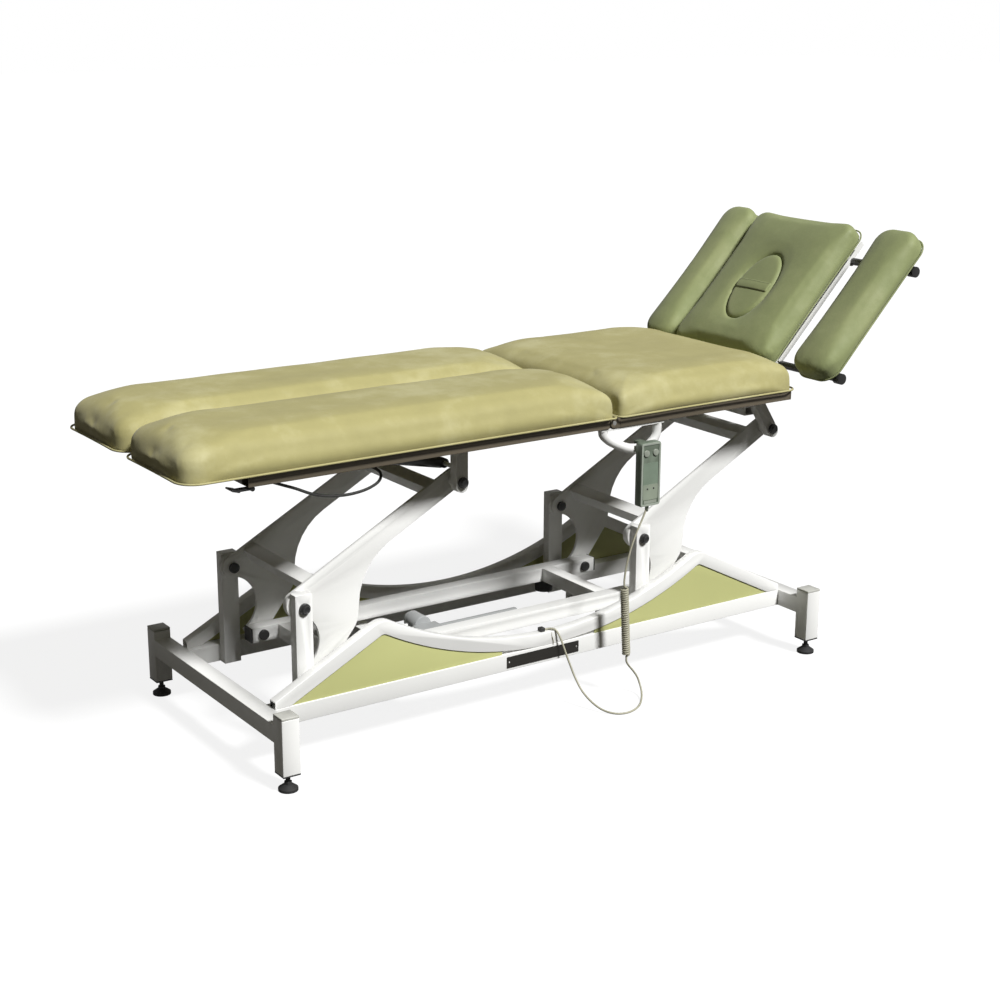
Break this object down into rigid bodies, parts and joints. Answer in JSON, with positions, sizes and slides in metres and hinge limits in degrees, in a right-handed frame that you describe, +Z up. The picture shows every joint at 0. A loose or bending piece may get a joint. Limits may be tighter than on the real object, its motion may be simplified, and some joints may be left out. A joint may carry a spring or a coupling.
{
  "type": "treatment table",
  "caption": "Height-adjustable treatment table on a parallelogram lift, with split leg cushions, a tilting back with a face opening and drawn-out side rests.",
  "frame": {"origin": "on the floor, under the middle of the table's box seen from above", "axes": "+X from the foot end to the head end, +Z up, the handset hangs on the -Y side"},
  "size_m": [1.9022, 0.728, 1.0316],
  "materials": {
    "white_paint": "smooth powder coat",
    "green_paint": "smooth powder coat",
    "black_plastic": "fine texture",
    "grey_plastic": "smooth",
    "black_steel": "black coated",
    "black_rubber": "matte",
    "grey_paint": "smooth",
    "bright_steel": "ground",
    "black_paint": "gloss",
    "olive_upholstery": "fine grain vinyl leather",
    "sage_upholstery": "fine grain vinyl leather",
    "handset_plastic": "fine texture",
    "button_plastic": "smooth",
    "cord_plastic": "soft sheath",
    "brown_paint": "satin coat"
  },
  "bodies": {
    "base": {"side_rails": "white_paint", "side_arches": "white_paint", "foot_end_frame": "white_paint", "head_end_frame": "white_paint", "infill_panels": "green_paint", "pivot_posts": "white_paint", "base_cross_tube": "white_paint", "post_plugs": "black_plastic", "post_caps": "grey_plastic", "lower_pivot_pins": "black_steel", "control_box": "black_plastic", "cord_clip": "black_plastic", "cord_lower": "cord_plastic"},
    "foot_a": {"foot_foot_near": "black_rubber"},
    "foot_b": {"foot_foot_far": "black_rubber"},
    "foot_c": {"foot_head_near": "black_rubber"},
    "foot_d": {"foot_head_far": "black_rubber"},
    "foot_arm": {"foot_arm_plates": "white_paint", "foot_arm_tubes": "white_paint"},
    "head_arm": {"head_arm_plates": "white_paint", "head_arm_tubes": "white_paint"},
    "link": {"link_bars": "white_paint", "link_cross_tubes": "white_paint", "link_plugs": "black_plastic", "link_pins": "black_steel", "link_buffers": "black_rubber"},
    "actuator_push_rod": {"actuator_rod": "bright_steel"},
    "actuator_body": {"actuator_housing": "grey_paint", "actuator_motor": "grey_paint"},
    "top": {"main_rails": "white_paint", "seat_frame": "brown_paint", "lift_brackets": "white_paint", "upper_pivot_pins": "black_steel", "section_hinge_pins": "bright_steel", "seat_cushion": "olive_upholstery", "handset_rail": "white_paint"},
    "leg_near": {"leg_frame_near": "brown_paint", "leg_cushion_near": "olive_upholstery", "release_cable": "cord_plastic"},
    "leg_far": {"leg_frame_far": "brown_paint", "leg_cushion_far": "olive_upholstery"},
    "leg_cylinder_near": {"leg_spring_near": "black_paint"},
    "leg_piston_near": {"leg_rod_near": "bright_steel"},
    "leg_cylinder_far": {"leg_spring_far": "black_paint"},
    "leg_piston_far": {"leg_rod_far": "bright_steel"},
    "lever": {"release_lever": "black_steel"},
    "back": {"back_frame": "white_paint", "back_cushion": "sage_upholstery"},
    "plug": {"face_plug": "sage_upholstery"},
    "side_rest_near": {"rest_pad_near": "sage_upholstery", "rest_bars_near": "black_steel"},
    "side_rest_far": {"rest_pad_far": "sage_upholstery", "rest_bars_far": "black_steel"},
    "back_cylinder": {"back_spring": "black_paint"},
    "back_piston": {"back_rod": "bright_steel"},
    "handset_case": {"handset": "handset_plastic", "cord_upper": "cord_plastic", "cord_coil": "cord_plastic"},
    "button_up": {"up_button": "button_plastic"},
    "button_down": {"down_button": "button_plastic"}
  },
  "joints": [
    {"name": "lift", "type": "hinge", "parent": "base", "child": "head_arm", "pos_m": [0.25834, 0.0285, 0.335], "axis": [0, -1, 0], "range_deg": [-33, 27], "deforming": ["cord_lower", "cord_coil", "cord_upper"]},
    {"name": "foot_arm_swing", "type": "hinge", "parent": "base", "child": "foot_arm", "pos_m": [-0.64766, 0.0285, 0.335], "axis": [0, -1, 0], "range_deg": [-33, 27]},
    {"name": "top_level", "type": "hinge", "parent": "head_arm", "child": "top", "pos_m": [0.65418, 0.0285, 0.54903], "axis": [0, -1, 0], "range_deg": [-27, 33]},
    {"name": "link_level", "type": "hinge", "parent": "head_arm", "child": "link", "pos_m": [0.3086, 0.0285, 0.17687], "axis": [0, -1, 0], "range_deg": [-27, 33]},
    {"name": "rod_swing", "type": "hinge", "parent": "link", "child": "actuator_push_rod", "pos_m": [0.19534, 0.0285, 0.135], "axis": [0, -1, 0], "range_deg": [-2.9, 2.4]},
    {"name": "actuator_stroke", "type": "slide", "parent": "actuator_push_rod", "child": "actuator_body", "axis": [1, 0, 0], "range_m": [-0.075, 0.091]},
    {"name": "leg_tilt_near", "type": "hinge", "parent": "top", "child": "leg_near", "pos_m": [0.08734, -0.126, 0.657], "axis": [0, 1, 0], "range_deg": [0, 14]},
    {"name": "leg_spring_swing_near", "type": "hinge", "parent": "top", "child": "leg_cylinder_near", "pos_m": [-0.26466, -0.1015, 0.583], "axis": [0, 1, 0], "range_deg": [0, 28.6]},
    {"name": "leg_rod_swing_near", "type": "hinge", "parent": "leg_near", "child": "leg_piston_near", "pos_m": [-0.51966, -0.1015, 0.636], "axis": [0, 1, 0], "range_deg": [0, 14.6]},
    {"name": "leg_tilt_far", "type": "hinge", "parent": "top", "child": "leg_far", "pos_m": [0.08734, 0.183, 0.657], "axis": [0, 1, 0], "range_deg": [0, 14]},
    {"name": "leg_spring_swing_far", "type": "hinge", "parent": "top", "child": "leg_cylinder_far", "pos_m": [-0.26466, 0.1585, 0.583], "axis": [0, 1, 0], "range_deg": [0, 28.6]},
    {"name": "leg_rod_swing_far", "type": "hinge", "parent": "leg_far", "child": "leg_piston_far", "pos_m": [-0.51966, 0.1585, 0.636], "axis": [0, 1, 0], "range_deg": [0, 14.6]},
    {"name": "lever_pull", "type": "hinge", "parent": "leg_near", "child": "lever", "pos_m": [-0.80266, -0.2465, 0.6407], "axis": [0, 1, 0], "range_deg": [0, 12], "stiffness_Nm_per_rad": 0.4},
    {"name": "back_tilt", "type": "hinge", "parent": "top", "child": "back", "pos_m": [0.63234, 0.0285, 0.657], "axis": [0, -1, 0], "range_deg": [-46.2, 7.5]},
    {"name": "back_spring_swing", "type": "hinge", "parent": "top", "child": "back_cylinder", "pos_m": [0.36034, 0.2588, 0.615], "axis": [0, -1, 0], "range_deg": [-7.3, 1.2]},
    {"name": "back_rod_swing", "type": "hinge", "parent": "back", "child": "back_piston", "pos_m": [0.69671, 0.2588, 0.62299], "axis": [0, -1, 0], "range_deg": [-6.4, 39.1]},
    {"name": "rest_draw_near", "type": "slide", "parent": "back", "child": "side_rest_near", "axis": [0, 1, 0], "range_m": [-0.01, 0.078]},
    {"name": "rest_draw_far", "type": "slide", "parent": "back", "child": "side_rest_far", "axis": [0, 1, 0], "range_m": [0, 0.08]},
    {"name": "plug_lift", "type": "slide", "parent": "back", "child": "plug", "axis": [-0.7218, 0, 0.6921], "range_m": [0, 0.06]},
    {"name": "handset_lift", "type": "slide", "parent": "top", "child": "handset_case", "axis": [0, 0, 1], "range_m": [0, 0.03]},
    {"name": "up_press", "type": "slide", "parent": "handset_case", "child": "button_up", "axis": [0, 1, 0], "range_m": [0, 0.0015], "stiffness_N_per_m": 200},
    {"name": "down_press", "type": "slide", "parent": "handset_case", "child": "button_down", "axis": [0, 1, 0], "range_m": [0, 0.0015], "stiffness_N_per_m": 200},
    {"name": "screw_foot_near", "type": "slide", "parent": "base", "child": "foot_a", "axis": [0, 0, -1], "range_m": [0, 0.02]},
    {"name": "screw_foot_far", "type": "slide", "parent": "base", "child": "foot_b", "axis": [0, 0, -1], "range_m": [0, 0.02]},
    {"name": "screw_head_near", "type": "slide", "parent": "base", "child": "foot_c", "axis": [0, 0, -1], "range_m": [0, 0.02]},
    {"name": "screw_head_far", "type": "slide", "parent": "base", "child": "foot_d", "axis": [0, 0, -1], "range_m": [0, 0.02]}
  ],
  "couplings": [
    {"joint": "foot_arm_swing", "follows": "lift", "ratio": 1},
    {"joint": "top_level", "follows": "lift", "ratio": -1},
    {"joint": "link_level", "follows": "lift", "ratio": -1},
    {"joint": "rod_swing", "follows": "lift", "ratio": 0.085},
    {"joint": "actuator_stroke", "follows": "lift", "m_per_rad": -0.155},
    {"joint": "leg_spring_swing_near", "follows": "leg_tilt_near", "ratio": 2.036},
    {"joint": "leg_rod_swing_near", "follows": "leg_tilt_near", "ratio": 1.036},
    {"joint": "leg_spring_swing_far", "follows": "leg_tilt_far", "ratio": 2.036},
    {"joint": "leg_rod_swing_far", "follows": "leg_tilt_far", "ratio": 1.036},
    {"joint": "back_spring_swing", "follows": "back_tilt", "ratio": 0.156},
    {"joint": "back_rod_swing", "follows": "back_tilt", "ratio": -0.844}
  ]
}
